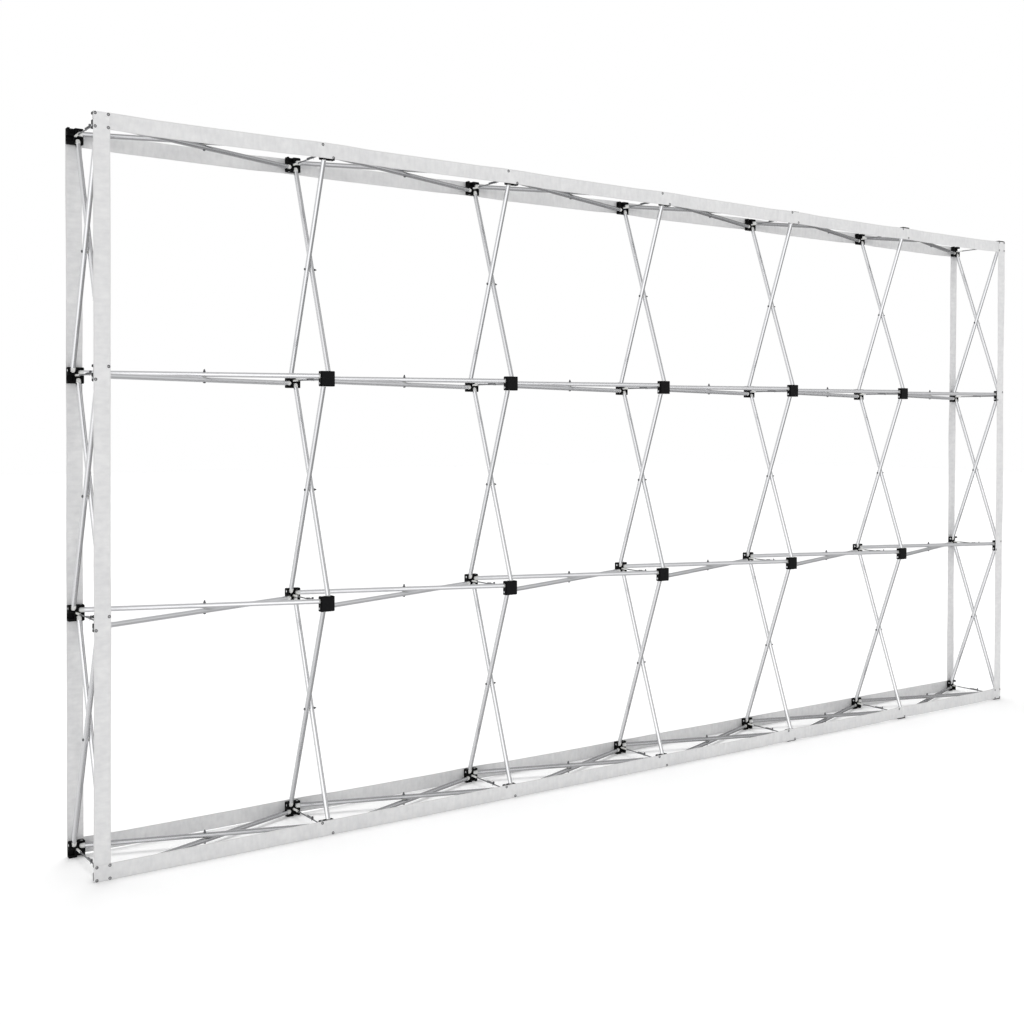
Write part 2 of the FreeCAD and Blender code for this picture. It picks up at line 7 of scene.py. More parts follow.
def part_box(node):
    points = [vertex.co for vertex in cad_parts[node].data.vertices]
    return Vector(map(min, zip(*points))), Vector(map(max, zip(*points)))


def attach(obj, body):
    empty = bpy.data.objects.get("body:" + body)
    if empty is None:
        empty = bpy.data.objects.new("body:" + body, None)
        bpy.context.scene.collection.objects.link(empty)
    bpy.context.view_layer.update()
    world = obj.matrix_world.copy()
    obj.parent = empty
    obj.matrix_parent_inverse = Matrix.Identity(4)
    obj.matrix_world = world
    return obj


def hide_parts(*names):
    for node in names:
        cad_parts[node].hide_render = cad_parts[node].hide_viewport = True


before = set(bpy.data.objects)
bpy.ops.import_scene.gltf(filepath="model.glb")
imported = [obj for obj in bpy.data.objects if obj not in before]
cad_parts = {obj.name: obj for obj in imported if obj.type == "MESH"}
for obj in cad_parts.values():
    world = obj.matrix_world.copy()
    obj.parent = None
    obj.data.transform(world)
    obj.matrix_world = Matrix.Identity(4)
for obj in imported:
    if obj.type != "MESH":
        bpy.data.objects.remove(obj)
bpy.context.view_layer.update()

# Hubs: 56 square blocks, a front and a back one at every crossing of the wall's grid. Each has
# four slots in a pinwheel, open to the inside, and is injection-moulded in black ABS.
# The back ones are the same moulding turned about to face backwards.
columns = 7
rows = 4
quarter_turns = 4
mm = 0.001
hub_size = 50 * mm
hub_half = hub_size / 2
hub_low, hub_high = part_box("front_edge_hubs")
hub_depth = hub_high.y - hub_low.y
bay = (hub_high.x - hub_low.x - hub_size) / (columns - 1)
front_y = hub_low.y
back_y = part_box("back_edge_hubs")[1].y
column_x = [hub_low.x + hub_half + bay * column for column in range(columns)]
row_z = [hub_low.z + hub_half + bay * row for row in range(rows)]
sites = [(column, row) for row in range(rows) for column in range(columns)]
inner_sites = [(c, r) for c, r in sites if 0 < c < columns - 1 and 0 < r < rows - 1]
edge_sites = [site for site in sites if site not in inner_sites]
plate_thick = 3 * mm
slot_inner = 0.2 * mm
slot_outer = 16.8 * mm
core_half = 6.5 * mm
corner_round = 3 * mm
pivot_offset = 15 * mm
pivot_depth = 12 * mm
pin_bore = 2.05 * mm
pin_bore_start = -4 * mm
pin_head_seat = 4.3 * mm
pin_head_depth = 1.7 * mm
stem_bore = 4.1 * mm
eyelet_offset = 19.2 * mm
eyelet_bore = 1.7 * mm
eyelet_bore_depth = 5.5 * mm
gate_mark_radius = 5 * mm
gate_mark_depth = 0.5 * mm
hub_edge = 0.45 * mm
corner_steps = 4
bore_sides = 16
seat_sides = 20
stem_sides = 24
overshoot = 2 * mm
crease_angle = math.radians(35)
across = Matrix.Rotation(math.radians(90), 4, "Y")
inward = Matrix.Rotation(math.radians(-90), 4, "X")
about_face = Matrix.Rotation(math.radians(180), 4, "Z")


def take(piece):
    bpy.ops.object.select_all(action="DESELECT")
    piece.select_set(True)
    bpy.context.view_layer.objects.active = piece


def block(name, low, high):
    bpy.ops.object.select_all(action="DESELECT")
    middle = [(a + b) / 2 for a, b in zip(low, high)]
    bpy.ops.mesh.primitive_cube_add(size=1, location=middle)
    piece = bpy.context.object
    piece.name = name
    piece.scale = [b - a for a, b in zip(low, high)]
    bpy.ops.object.transform_apply(location=True, rotation=True, scale=True)
    return piece


def turned(name, rings, sides, place=Matrix()):
    """A round piece about Z, drawn out ring by ring from (radius, height) pairs."""
    bpy.ops.object.select_all(action="DESELECT")
    radius, height = rings[0]
    spot = (0, 0, height)
    bpy.ops.mesh.primitive_circle_add(
        vertices=sides, radius=radius, fill_type="NGON", location=spot
    )
    piece = bpy.context.object
    piece.name = name
    bpy.ops.object.transform_apply(location=True, rotation=True, scale=True)
    bpy.ops.object.mode_set(mode="EDIT")
    bpy.ops.mesh.select_all(action="SELECT")
    for next_radius, next_height in rings[1:]:
        step = (0, 0, next_height - height)
        bpy.ops.mesh.extrude_region_move(TRANSFORM_OT_translate={"value": step})
        grow = next_radius / radius
        bpy.ops.transform.resize(value=(grow, grow, 1), center_override=(0, 0, next_height))
        radius, height = next_radius, next_height
    bpy.ops.mesh.select_all(action="SELECT")
    bpy.ops.mesh.normals_make_consistent(inside=False)
    bpy.ops.object.mode_set(mode="OBJECT")
    piece.data.transform(place)
    return piece


def apply_change(piece, kind, **settings):
    take(piece)
    change = piece.modifiers.new(kind, kind)
    for setting, value in settings.items():
        setattr(change, setting, value)
    bpy.ops.object.modifier_apply(modifier=change.name)


def combine(piece, tool, operation):
    apply_change(piece, "BOOLEAN", object=tool, operation=operation, solver="EXACT")
    bpy.data.meshes.remove(tool.data)


def bevel_edges(piece, chosen, width, segments):
    """Rounds the edges that the test picks, given each edge's two ends."""
    take(piece)
    bpy.ops.object.mode_set(mode="EDIT")
    bpy.ops.mesh.select_mode(type="EDGE")
    bpy.ops.mesh.select_all(action="DESELECT")
    bpy.ops.object.mode_set(mode="OBJECT")
    for edge in piece.data.edges:
        ends = [piece.data.vertices[number].co for number in edge.vertices]
        edge.select = chosen(*ends)
    bpy.ops.object.mode_set(mode="EDIT")
    bpy.ops.mesh.bevel(offset=width, segments=segments, affect="EDGES")
    bpy.ops.object.mode_set(mode="OBJECT")


def soften(piece, width, segments=2):
    apply_change(piece, "BEVEL", width=width, segments=segments, limit_method="ANGLE")
    smooth(piece)


def smooth(piece):
    take(piece)
    bpy.ops.object.shade_smooth_by_angle(angle=crease_angle)


def copies(master, name, places, seed):
    """One piece made of copies of the master, each with its own shade value."""
    draw = random.Random(seed)
    twins = []
    for place in places:
        twin = bpy.data.objects.new(name, master.data.copy())
        bpy.context.collection.objects.link(twin)
        twin.data.transform(place)
        shade = twin.data.attributes.new("shade", "FLOAT", "FACE")
        shade.data.foreach_set("value", [draw.random()] * len(twin.data.polygons))
        twins.append(twin)
    take(twins[0])
    for twin in twins:
        twin.select_set(True)
    if len(twins) > 1:
        bpy.ops.object.join()
    twins[0].name = name
    return twins[0]


def discard(master):
    bpy.data.meshes.remove(master.data)


hub = block("hub", (-hub_half, 0, -hub_half), (hub_half, hub_depth, hub_half))
bevel_edges(hub, lambda a, b: abs(a.y - b.y) > hub_depth / 2, corner_round, corner_steps)
for quarter in range(quarter_turns):
    turn = Matrix.Rotation(math.radians(90 * quarter), 4, "Y")
    slot_high = (slot_outer, hub_depth + overshoot, hub_half + overshoot)
    slot = block("slot", (slot_inner, plate_thick, core_half), slot_high)
    slot.data.transform(turn)
    combine(hub, slot, "DIFFERENCE")
    pin_line = turn @ Matrix.Translation((pin_bore_start, pivot_depth, pivot_offset)) @ across
    bore = turned("pin_bore", [(pin_bore, 0), (pin_bore, hub_half)], bore_sides, pin_line)
    combine(hub, bore, "DIFFERENCE")
    head_start = (hub_half - pin_head_depth, pivot_depth, pivot_offset)
    head_line = turn @ Matrix.Translation(head_start) @ across
    seat = turned("pin_seat", [(pin_head_seat, 0), (pin_head_seat, hub_half)], seat_sides, head_line)
    combine(hub, seat, "DIFFERENCE")
    eyelet_line = turn @ Matrix.Translation((eyelet_offset, -overshoot, eyelet_offset)) @ inward
    drilled = eyelet_bore_depth + overshoot
    bore = turned("eyelet_bore", [(eyelet_bore, 0), (eyelet_bore, drilled)], bore_sides, eyelet_line)
    combine(hub, bore, "DIFFERENCE")
stem_line = Matrix.Translation((0, plate_thick, 0)) @ inward
bore = turned("stem_bore", [(stem_bore, 0), (stem_bore, hub_half)], stem_sides, stem_line)
combine(hub, bore, "DIFFERENCE")
gate_line = Matrix.Translation((0, -overshoot, 0)) @ inward
gate_end = overshoot + gate_mark_depth
gate_rings = [(gate_mark_radius, 0), (gate_mark_radius, gate_end)]
gate = turned("gate_mark", gate_rings, stem_sides, gate_line)
combine(hub, gate, "DIFFERENCE")
soften(hub, hub_edge)


def linear(hex_colour):
    """An sRGB hex colour as linear red, green, blue and alpha."""
    channels = [int(hex_colour[start:start + 2], 16) / 255 for start in (1, 3, 5)]
    return [c / 12.92 if c <= 0.04045 else ((c + 0.055) / 1.055) ** 2.4 for c in channels] + [1]


def add_node(tree, kind, inputs=(), leads_to=(), **settings):
    """Adds a node, sets its settings, links or sets its inputs, and leads its outputs to sockets."""
    added = tree.nodes.new(kind)
    for setting, value in settings.items():
        setattr(added, setting, value)
    for socket, value in dict(inputs).items():
        if isinstance(value, bpy.types.NodeSocket):
            tree.links.new(value, added.inputs[socket])
        else:
            added.inputs[socket].default_value = value
    for output, socket in dict(leads_to).items():
        tree.links.new(added.outputs[output], socket)
    return added


def new_material(name, **surface):
    """A material with one principled surface, whose plain values are set on its own sockets."""
    made = bpy.data.materials.new(name)
    made.use_nodes = True
    shader = made.node_tree.nodes["Principled BSDF"]
    for socket, value in surface.items():
        shader.inputs[socket.replace("_", " ")].default_value = value
    return made, made.node_tree, shader


def moulded_abs():
    """Black ABS with the fine grain of its mould: dark, half dull, with a soft gloss on edges."""
    made, tree, shader = new_material("moulded_black_abs", IOR=1.54, Specular_IOR_Level=0.08)
    grain_size = 1.4 * mm
    cloud_size = 50 / 3 * mm
    place = add_node(tree, "ShaderNodeTexCoord").outputs["Object"]
    fine = {"Vector": place, "Scale": 1 / grain_size, "Detail": 2}
    grain = add_node(tree, "ShaderNodeTexNoise", fine).outputs["Fac"]
    broad = {"Vector": place, "Scale": 1 / cloud_size, "Detail": 3}
    cloud = add_node(tree, "ShaderNodeTexNoise", broad).outputs["Fac"]
    own = add_node(tree, "ShaderNodeAttribute", attribute_name="shade").outputs["Fac"]
    mixed = add_node(tree, "ShaderNodeMath", {0: cloud, 1: own}, operation="MULTIPLY").outputs[0]
    tones = {"Factor": mixed, "A": linear("#050506"), "B": linear("#0e0e0f")}
    add_node(tree, "ShaderNodeMix", tones, {"Result": shader.inputs["Base Color"]}, data_type="RGBA")
    gloss = {"Value": grain, "To Min": 0.5, "To Max": 0.7}
    add_node(tree, "ShaderNodeMapRange", gloss, {"Result": shader.inputs["Roughness"]})
    relief = {"Height": grain, "Strength": 0.25, "Distance": 0.1 * mm}
    add_node(tree, "ShaderNodeBump", relief, {"Normal": shader.inputs["Normal"]})
    return made


def dress(piece, material, slot, body, *nodes):
    """Gives a piece its material and ties it to the frame."""
    piece.data.materials.clear()
    piece.data.materials.append(material)
    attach(piece, body)
    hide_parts(*nodes)


def front_place(column, row):
    return Matrix.Translation((column_x[column], front_y, row_z[row]))


def back_place(column, row):
    return Matrix.Translation((column_x[column], back_y, row_z[row])) @ about_face


black_abs = moulded_abs()
for seed, (face, place) in enumerate((("front", front_place), ("back", back_place))):
    for kind, chosen in (("edge", edge_sites), ("inner", inner_sites)):
        spots = [place(*site) for site in chosen]
        group = copies(hub, f"{face}_{kind}_hub_blocks", spots, seed)
        dress(group, black_abs, "hub_moulding", "frame", f"{face}_{kind}_hubs")
discard(hub)

# Hub pins: 180 headed steel pins, one across every slot that holds a strut, on which its tip turns.
# Turned from rod, zinc-plated and pressed in, with the head sunk in the wall of the hub.
pin_start = -3.8 * mm
pin_radius = 2 * mm
pin_head_radius = 4 * mm
pin_head_height = 1.6 * mm
pin_length = 28.7 * mm
pin_head_round = 0.5 * mm
pin_sides = 12


def slots_in_use(column, row, faces_back):
    """The slots of a hub that hold a strut, clockwise from the top as its outer face is seen."""
    right, left = column < columns - 1, column > 0
    if faces_back:
        right, left = left, right
    in_use = (row < rows - 1, right, row > 0, left)
    return [slot for slot in range(quarter_turns) if in_use[slot]]


def bright_zinc():
    """Zinc-plated steel: a bright bluish white metal with a faint cloudiness from the bath."""
    made, tree, shader = new_material("bright_zinc_plate", Metallic=1.0)
    cloud_size = 3 * mm
    place = add_node(tree, "ShaderNodeTexCoord").outputs["Object"]
    broad = {"Vector": place, "Scale": 1 / cloud_size, "Detail": 3}
    cloud = add_node(tree, "ShaderNodeTexNoise", broad).outputs["Fac"]
    tones = {"Factor": cloud, "A": linear("#b9bcc0"), "B": linear("#e6e7e8")}
    add_node(tree, "ShaderNodeMix", tones, {"Result": shader.inputs["Base Color"]}, data_type="RGBA")
    gloss = {"Value": cloud, "To Min": 0.22, "To Max": 0.4}
    add_node(tree, "ShaderNodeMapRange", gloss, {"Result": shader.inputs["Roughness"]})
    relief = {"Height": cloud, "Strength": 0.1, "Distance": 0.05 * mm}
    add_node(tree, "ShaderNodeBump", relief, {"Normal": shader.inputs["Normal"]})
    return made


pin_head_base = pin_length - pin_head_height
pin = turned(
    "pin",
    [
        (pin_radius, 0),
        (pin_radius, pin_head_base),
        (pin_head_radius, pin_head_base),
        (pin_head_radius, pin_length - pin_head_round),
        (pin_head_radius - pin_head_round, pin_length),
    ],
    pin_sides,
)
smooth(pin)
pin_spots = []
for column, row in sites:
    for place, faces_back in ((front_place, False), (back_place, True)):
        for slot in slots_in_use(column, row, faces_back):
            turn = Matrix.Rotation(math.radians(90 * slot), 4, "Y")
            line = Matrix.Translation((pin_start, pivot_depth, pivot_offset)) @ across
            pin_spots.append(place(column, row) @ turn @ line)
zinc = bright_zinc()
dress(copies(pin, "pivot_pins", pin_spots, 2), zinc, "pin_steel", "frame", "hub_pins")
discard(pin)

# Struts: 90 thin-walled tubes in crossed pairs, level along the rows and upright along the columns.
# Drawn aluminium, anodised, cut square and plugged at both ends. The finish is satin, softer on
# the level tubes of the middle rows. The level tubes of the top and bottom rows are painted a darker
# grey, as painted shade from the strips beside them.
tube_radius = 8 * mm
tube_wall = 1.2 * mm
strut_offset = 8.5 * mm
tip_neck = 10 * mm
pivot_rise = back_y - front_y - 2 * pivot_depth
pivot_run = bay - 2 * pivot_offset
strut_length = math.hypot(pivot_rise, pivot_run)
strut_angle = math.atan2(pivot_rise, pivot_run)
tube_length = strut_length - 2 * tip_neck
tube_sides = 24
end_facing = 0.9


def select_faces(piece, chosen):
    take(piece)
    bpy.ops.object.mode_set(mode="EDIT")
    bpy.ops.mesh.select_mode(type="FACE")
    bpy.ops.mesh.select_all(action="DESELECT")
    bpy.ops.object.mode_set(mode="OBJECT")
    for face in piece.data.polygons:
        face.select = chosen(face)
    bpy.ops.object.mode_set(mode="EDIT")


def anodised_aluminium(name, dark, light, smoothest, roughest):
    """Drawn and anodised aluminium: pale grey, with fine lines along the tube and a broad gloss."""
    made, tree, shader = new_material(name, Metallic=1.0)
    around = 2 * math.pi * tube_radius
    line_width = 1.2 * mm
    line_length = 250 * mm
    lie = add_node(tree, "ShaderNodeUVMap", uv_map="UVMap").outputs["UV"]
    scale = (around / line_width, 2 * tube_length / line_length, 1)
    stretched = add_node(tree, "ShaderNodeMapping", {"Vector": lie, "Scale": scale}).outputs["Vector"]
    drawn = {"Vector": stretched, "Scale": 1, "Detail": 3}
    lines = add_node(tree, "ShaderNodeTexNoise", drawn).outputs["Fac"]
    own = add_node(tree, "ShaderNodeAttribute", attribute_name="shade").outputs["Fac"]
    mixed = add_node(tree, "ShaderNodeMath", {0: lines, 1: own}, operation="ADD").outputs[0]
    half = add_node(tree, "ShaderNodeMath", {0: mixed, 1: 0.5}, operation="MULTIPLY").outputs[0]
    tones = {"Factor": half, "A": linear(dark), "B": linear(light)}
    add_node(tree, "ShaderNodeMix", tones, {"Result": shader.inputs["Base Color"]}, data_type="RGBA")
    gloss = {"Value": lines, "To Min": smoothest, "To Max": roughest}
    add_node(tree, "ShaderNodeMapRange", gloss, {"Result": shader.inputs["Roughness"]})
    relief = {"Height": lines, "Strength": 0.08, "Distance": 0.05 * mm}
    add_node(tree, "ShaderNodeBump", relief, {"Normal": shader.inputs["Normal"]})
    return made


bpy.ops.object.select_all(action="DESELECT")
bpy.ops.mesh.primitive_cylinder_add(vertices=tube_sides, radius=tube_radius, depth=tube_length)
tube = bpy.context.object
select_faces(tube, lambda face: abs(face.normal.z) > end_facing)
bpy.ops.mesh.inset(thickness=tube_wall, use_individual=True)
bpy.ops.mesh.delete(type="ONLY_FACE")
bpy.ops.mesh.select_mode(type="EDGE")
bpy.ops.mesh.select_non_manifold()
bpy.ops.mesh.bridge_edge_loops()
bpy.ops.mesh.select_all(action="SELECT")
bpy.ops.mesh.normals_make_consistent(inside=False)
bpy.ops.object.mode_set(mode="OBJECT")
smooth(tube)

satin_tube = anodised_aluminium("satin_anodised_aluminium", "#cfd0d2", "#dedee0", 0.13, 0.22)
soft_tube = anodised_aluminium("soft_anodised_aluminium", "#e0e1e3", "#ededef", 0.34, 0.42)
# Darker greys for the level tubes of the top and bottom rows: painted shade from the strips beside
# them.
shade_painted_tube = anodised_aluminium("shade_painted_anodised_aluminium", "#b4b5b7", "#c4c4c6", 0.13, 0.22)
leans = ((-strut_offset, strut_angle), (strut_offset, -strut_angle))
strut_lines = []
level_middles = []
upright_middles = []
for row in range(rows):
    lines = []
    for start in range(columns - 1):
        middle_x = (column_x[start] + column_x[start + 1]) / 2
        level_middles.append(Matrix.Translation((middle_x, 0, row_z[row])))
        for offset, angle in leans:
            lean = Matrix.Rotation(angle, 4, "Z")
            lines.append(Matrix.Translation((middle_x, 0, row_z[row] + offset)) @ lean @ across)
    strut_lines += lines
    group = copies(tube, f"level_tubes_row{row + 1}", lines, 10 + row)
    # The top and bottom rows take the copy that is painted darker as painted shade.
    finish = shade_painted_tube if row in (0, rows - 1) else soft_tube
    dress(group, finish, "strut_tube", "frame", f"level_struts_row{row + 1}")
for column in range(columns):
    lines = []
    for start in range(rows - 1):
        middle_z = (row_z[start] + row_z[start + 1]) / 2
        upright_middles.append(Matrix.Translation((column_x[column], 0, middle_z)) @ across)
        for offset, angle in leans:
            lean = Matrix.Rotation(angle, 4, "X")
            lines.append(Matrix.Translation((column_x[column] + offset, 0, middle_z)) @ lean)
    strut_lines += lines
    group = copies(tube, f"upright_tubes_col{column + 1}", lines, 20 + column)
    dress(group, satin_tube, "strut_tube", "frame", f"upright_struts_col{column + 1}")
discard(tube)

# Strut tips: 180 domed ends, drilled across for the hub pin and plugged into the tubes.
# Injection-moulded in natural grey nylon, as wide as the tube, with a short plug behind the neck.
tip_sides = 16
dome_steps = (75, 50, 25, 0)
plug_radius = 6.7 * mm
plug_length = 12 * mm


def grey_nylon():
    """Moulded nylon: a pale grey, slightly waxy plastic with a dull sheen."""
    made, tree, shader = new_material("moulded_grey_nylon", IOR=1.53, Subsurface_Weight=0.08)
    shader.inputs["Subsurface Radius"].default_value = (1 * mm, 1 * mm, 1 * mm)
    cloud_size = 5 * mm
    place = add_node(tree, "ShaderNodeTexCoord").outputs["Object"]
    broad = {"Vector": place, "Scale": 1 / cloud_size, "Detail": 2}
    cloud = add_node(tree, "ShaderNodeTexNoise", broad).outputs["Fac"]
    tones = {"Factor": cloud, "A": linear("#d6d7d6"), "B": linear("#e8e8e6")}
    add_node(tree, "ShaderNodeMix", tones, {"Result": shader.inputs["Base Color"]}, data_type="RGBA")
    gloss = {"Value": cloud, "To Min": 0.38, "To Max": 0.55}
    add_node(tree, "ShaderNodeMapRange", gloss, {"Result": shader.inputs["Roughness"]})
    relief = {"Height": cloud, "Strength": 0.1, "Distance": 0.1 * mm}
    add_node(tree, "ShaderNodeBump", relief, {"Normal": shader.inputs["Normal"]})
    return made


dome_angles = [math.radians(step) for step in dome_steps]
dome = [(tube_radius * math.cos(a), -tube_radius * math.sin(a)) for a in dome_angles]
neck = [(tube_radius, tip_neck), (plug_radius, tip_neck), (plug_radius, tip_neck + plug_length)]
tip = turned("tip", dome + neck, tip_sides)
smooth(tip)
lower_end = Matrix.Translation((0, 0, -strut_length / 2))
upside_down = Matrix.Rotation(math.radians(180), 4, "X")
upper_end = Matrix.Translation((0, 0, strut_length / 2)) @ upside_down
tip_spots = [line @ end for line in strut_lines for end in (lower_end, upper_end)]
tips = copies(tip, "strut_end_tips", tip_spots, 30)
dress(tips, grey_nylon(), "tip_nylon", "frame", "strut_tips")
discard(tip)

# Crossing rivets: 45 rivets through the middle of every crossed pair, and a nylon washer between
# the two tubes. Dull zinc-plated steel, with a domed head at one end and a long tapered tail at
# the other.
rivet_radius = 2.5 * mm
rivet_head_radius = 4.5 * mm
rivet_head_height = 3 * mm
rivet_tail = 9 * mm
rivet_tail_tip = 1.6 * mm
rivet_reach = 16.5 * mm
washer_radius = 6.5 * mm
washer_half = 0.5 * mm
dome_rings = ((0.3, 1.0), (0.7, 0.8), (0.94, 0.45), (1.0, 0.0))
rivet_sides = 16
washer_sides = 20


def worn_steel(name, dark, light):
    """Dull zinc-plated steel: a mid grey metal, darker in patches dulled by hands and rubbing."""
    made, tree, shader = new_material(name, Metallic=1.0)
    cloud_size = 8 * mm
    grain_size = 0.8 * mm
    place = add_node(tree, "ShaderNodeTexCoord").outputs["Object"]
    broad = {"Vector": place, "Scale": 1 / cloud_size, "Detail": 4}
    cloud = add_node(tree, "ShaderNodeTexNoise", broad).outputs["Fac"]
    fine = {"Vector": place, "Scale": 1 / grain_size, "Detail": 2}
    grain = add_node(tree, "ShaderNodeTexNoise", fine).outputs["Fac"]
    tones = {"Factor": cloud, "A": linear(dark), "B": linear(light)}
    add_node(tree, "ShaderNodeMix", tones, {"Result": shader.inputs["Base Color"]}, data_type="RGBA")
    gloss = {"Value": cloud, "To Min": 0.3, "To Max": 0.5}
    add_node(tree, "ShaderNodeMapRange", gloss, {"Result": shader.inputs["Roughness"]})
    relief = {"Height": grain, "Strength": 0.12, "Distance": 0.05 * mm}
    add_node(tree, "ShaderNodeBump", relief, {"Normal": shader.inputs["Normal"]})
    return made


head = [
    (rivet_head_radius * wide, -rivet_reach - rivet_head_height * up) for wide, up in dome_rings
]
shank = [(rivet_radius, -rivet_reach), (rivet_radius, rivet_reach)]
tail = [(rivet_head_radius, rivet_reach), (rivet_tail_tip, rivet_reach + rivet_tail)]
rivet = turned("rivet", head + shank + tail, rivet_sides)
smooth(rivet)
crossings = level_middles + upright_middles
dull_steel = worn_steel("dull_rivet_steel", "#4c4d4f", "#78797b")
rivets = copies(rivet, "crossing_rivet_set", crossings, 31)
dress(rivets, dull_steel, "pin_steel", "frame", "crossing_rivets")
discard(rivet)


def natural_nylon(name, dark, light):
    """Uncoloured nylon: milky white, waxy, a little light passes into it."""
    made, tree, shader = new_material(name, IOR=1.53, Subsurface_Weight=0.12)
    shader.inputs["Subsurface Radius"].default_value = (1.5 * mm, 1.5 * mm, 1.2 * mm)
    cloud_size = 4 * mm
    place = add_node(tree, "ShaderNodeTexCoord").outputs["Object"]
    broad = {"Vector": place, "Scale": 1 / cloud_size, "Detail": 2}
    cloud = add_node(tree, "ShaderNodeTexNoise", broad).outputs["Fac"]
    tones = {"Factor": cloud, "A": linear(dark), "B": linear(light)}
    add_node(tree, "ShaderNodeMix", tones, {"Result": shader.inputs["Base Color"]}, data_type="RGBA")
    gloss = {"Value": cloud, "To Min": 0.35, "To Max": 0.5}
    add_node(tree, "ShaderNodeMapRange", gloss, {"Result": shader.inputs["Roughness"]})
    relief = {"Height": cloud, "Strength": 0.08, "Distance": 0.1 * mm}
    add_node(tree, "ShaderNodeBump", relief, {"Normal": shader.inputs["Normal"]})
    return made


washer_rings = [
    (washer_radius, -washer_half),
    (washer_radius, washer_half),
    (rivet_radius, washer_half),
    (rivet_radius, 0),
]
washer = turned("washer", washer_rings, washer_sides)
smooth(washer)
washer_nylon = natural_nylon("washer_nylon", "#dcdcd6", "#ececea")
washers = copies(washer, "crossing_washer_set", crossings, 32)
dress(washers, washer_nylon, "washer_nylon", "frame", "crossing_washers")
discard(washer)

# Lock sockets: 28 forked blocks pressed into the middle of the back hubs, each with a short pin.
# Moulded in white nylon; the pin through the fork is zinc-plated steel, riveted over at both ends.
inner_y = back_y - hub_depth
socket_reach = 32 * mm
pivot_y = inner_y - socket_reach
socket_half_width = 3 * mm
socket_half_height = 3 * mm
fork_half = 1.5 * mm
fork_floor = pivot_y + 4.25 * mm
stem_radius = 4 * mm
stem_length = 12 * mm
socket_round = 1.4 * mm
socket_edge = 0.3 * mm
lock_pin_radius = 1.1 * mm
lock_pin_head = 2 * mm
lock_pin_head_height = 0.8 * mm
lock_pin_taper = 0.6
lock_pin_sides = 16
nose_sides = 24
plug_sides = 20
centres = [Matrix.Translation((column_x[c], 0, row_z[r])) for c, r in sites]

socket_low = (-socket_half_width, pivot_y, -socket_half_height)
socket = block("socket", socket_low, (socket_half_width, inner_y, socket_half_height))
bevel_edges(socket, lambda a, b: abs(a.y - b.y) > socket_reach / 2, socket_round, corner_steps)
nose_line = Matrix.Translation((-socket_half_width, pivot_y, 0)) @ across
nose_rings = [(socket_half_height, 0), (socket_half_height, 2 * socket_half_width)]
nose = turned("nose", nose_rings, nose_sides, nose_line)
combine(socket, nose, "UNION")
fork_low = (-fork_half, pivot_y - 2 * socket_half_height, -2 * socket_half_height)
fork = block("fork", fork_low, (fork_half, fork_floor, 2 * socket_half_height))
combine(socket, fork, "DIFFERENCE")
soften(socket, socket_edge)
stem_line = Matrix.Translation((0, inner_y - mm, 0)) @ inward
stem = turned("stem", [(stem_radius, 0), (stem_radius, stem_length + mm)], plug_sides, stem_line)
combine(socket, stem, "UNION")
smooth(socket)
socket_nylon = natural_nylon("white_nylon", "#ecece8", "#f6f6f4")
sockets = copies(socket, "lock_socket_set", centres, 33)
dress(sockets, socket_nylon, "socket_nylon", "frame", "lock_sockets")
discard(socket)

lock_pin_end = socket_half_width + lock_pin_head_height
lock_head = [(lock_pin_head, socket_half_width), (lock_pin_taper * lock_pin_head, lock_pin_end)]
lock_tail = [(radius, -height) for radius, height in reversed(lock_head)]
lock_shank = [(lock_pin_radius, -socket_half_width), (lock_pin_radius, socket_half_width)]
lock_pin = turned("lock_pin", lock_tail + lock_shank + lock_head, lock_pin_sides)
smooth(lock_pin)
lock_pin_spots = [centre @ Matrix.Translation((0, pivot_y, 0)) @ across for centre in centres]
lock_pins = copies(lock_pin, "lock_pin_set", lock_pin_spots, 34)
dress(lock_pins, zinc, "pin_steel", "frame", "lock_pins")
discard(lock_pin)

# Catch arms: 28 fixed rods from the middle of the front hubs, each with a collar and an upright nib.
# Cold-headed steel, zinc-plated; the paddle of the lock arm drops over the nib and holds the depth.
arm_radius = 2.25 * mm
collar_radius = 5 * mm
collar_thick = 3 * mm
catch_end = 8 * mm
nib_half_width = 1.5 * mm
nib_half_length = 2 * mm
nib_top = 6.05 * mm
arm_edge = 0.3 * mm
arm_chamfer = 0.8 * mm
arm_sides = 16
nib_steps = 2

catch_line = Matrix.Translation((0, -inner_y, 0)) @ inward
catch_reach = inner_y + catch_end
catch = turned(
    "catch",
    [
        (stem_radius, -stem_length),
        (stem_radius, 0),
        (collar_radius, 0),
        (collar_radius, collar_thick),
        (arm_radius, collar_thick),
        (arm_radius, catch_reach - arm_chamfer),
        (arm_radius - arm_chamfer, catch_reach),
    ],
    arm_sides,
    catch_line,
)
nib_low = (-nib_half_width, -nib_half_length, 0)
nib = block("nib", nib_low, (nib_half_width, nib_half_length, nib_top))
bevel_edges(nib, lambda a, b: min(a.z, b.z) > nib_top / 2, arm_chamfer, nib_steps)
combine(catch, nib, "UNION")
smooth(catch)
lock_steel = worn_steel("dull_lock_steel", "#66676a", "#98999b")
catches = copies(catch, "catch_arm_set", centres, 35)
dress(catches, lock_steel, "lock_steel", "frame", "catch_arms")
discard(catch)

# Lock arms: 28 swinging arms, one in each fork, with an eye, a rod, and a slotted paddle with a tab
# that straddles the catch arm on two legs. Pressed and bent from zinc-plated steel; a thumb under the
# tab lifts the paddle off the nib.
eye_radius = 2.75 * mm
eye_half = 1.3 * mm
shoulder_y = pivot_y - 4.5 * mm
web_front = 10 * mm
web_back = 15 * mm
paddle_half = 3.75 * mm
paddle_bottom = 2.55 * mm
paddle_top = 4.55 * mm
paddle_nose = -26 * mm
tab_thick = 1.2 * mm
tab_top = 10.55 * mm
leg_drop = 5 * mm
saddle_half = 2.65 * mm
window_half = 1.9 * mm
window_reach = 3 * mm
paddle_round = 2 * mm
paddle_steps = 3
tab_round = 2.5 * mm
eye_sides = 24

